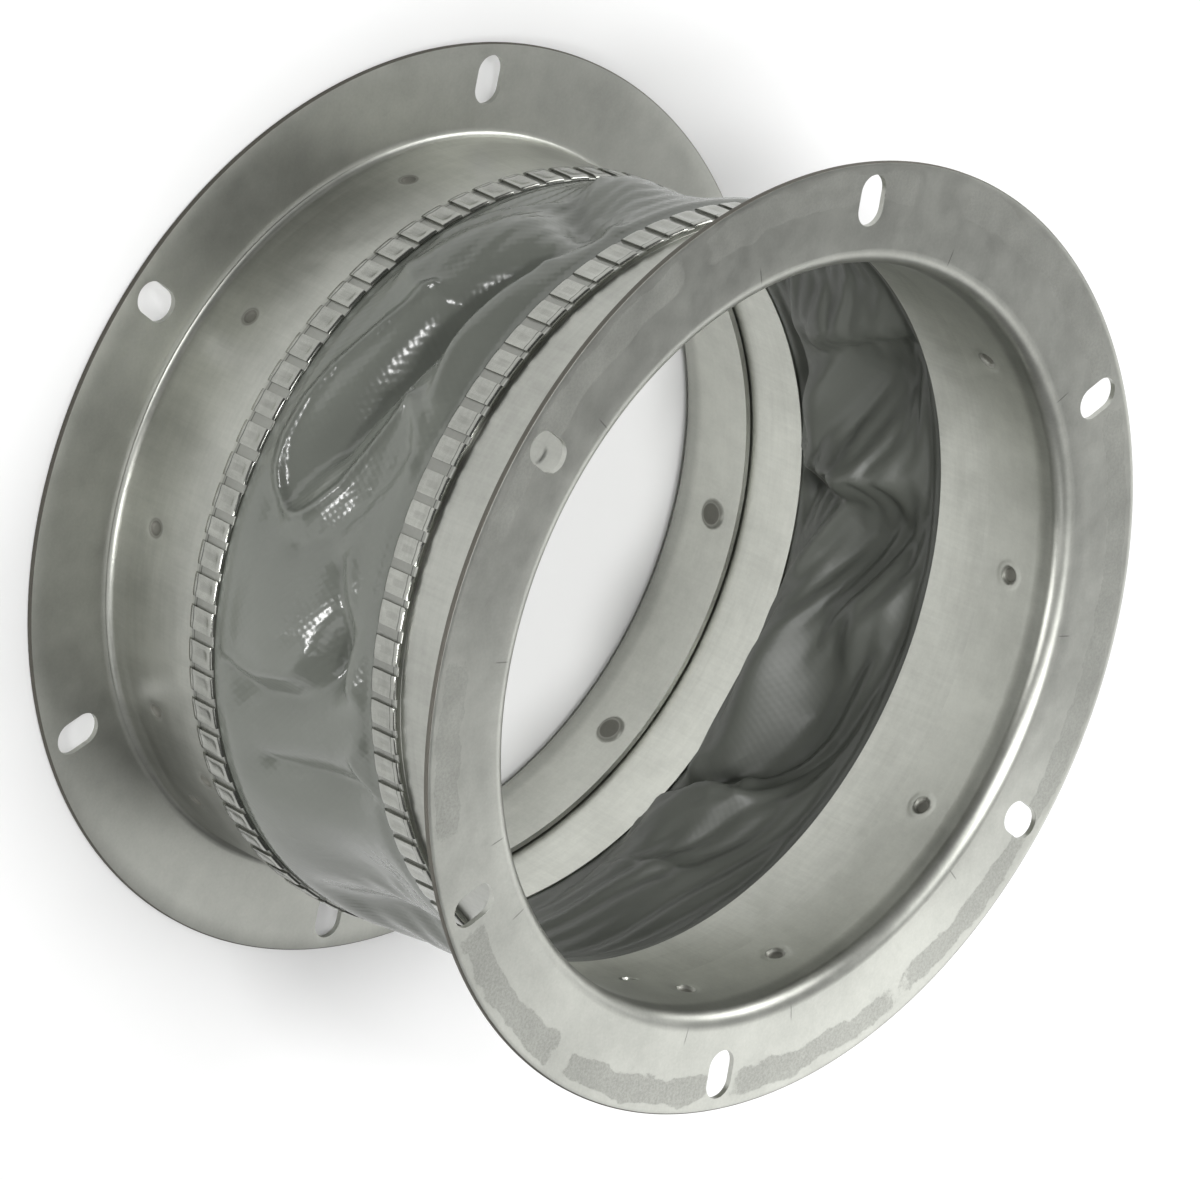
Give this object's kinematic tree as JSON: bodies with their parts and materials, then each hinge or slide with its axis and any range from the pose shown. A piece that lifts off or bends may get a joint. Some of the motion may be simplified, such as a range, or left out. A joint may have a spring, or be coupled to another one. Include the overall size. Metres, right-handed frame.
{
  "type": "duct connector spigot",
  "caption": "Round duct connector with pressed metal flanges and a short flexible fabric sleeve held in folded seams.",
  "frame": {"origin": "centre of the back flange's bolt circle, on its outer face", "axes": "+Z from the back flange to the front flange along the back ring's axis, +X through one of the back flange's bolt slots"},
  "size_m": [0.2633, 0.2621, 0.1475],
  "materials": {
    "flange_zinc": "galvanised, dulled and stained",
    "sleeve_zinc": "galvanised, bright",
    "coated_cloth": "glossy coated weave"
  },
  "bodies": {
    "root": {"front_flange": "flange_zinc", "back_flange": "flange_zinc", "front_sleeve": "sleeve_zinc", "back_sleeve": "sleeve_zinc", "canvas_sleeve": "coated_cloth"}
  },
  "joints": []
}
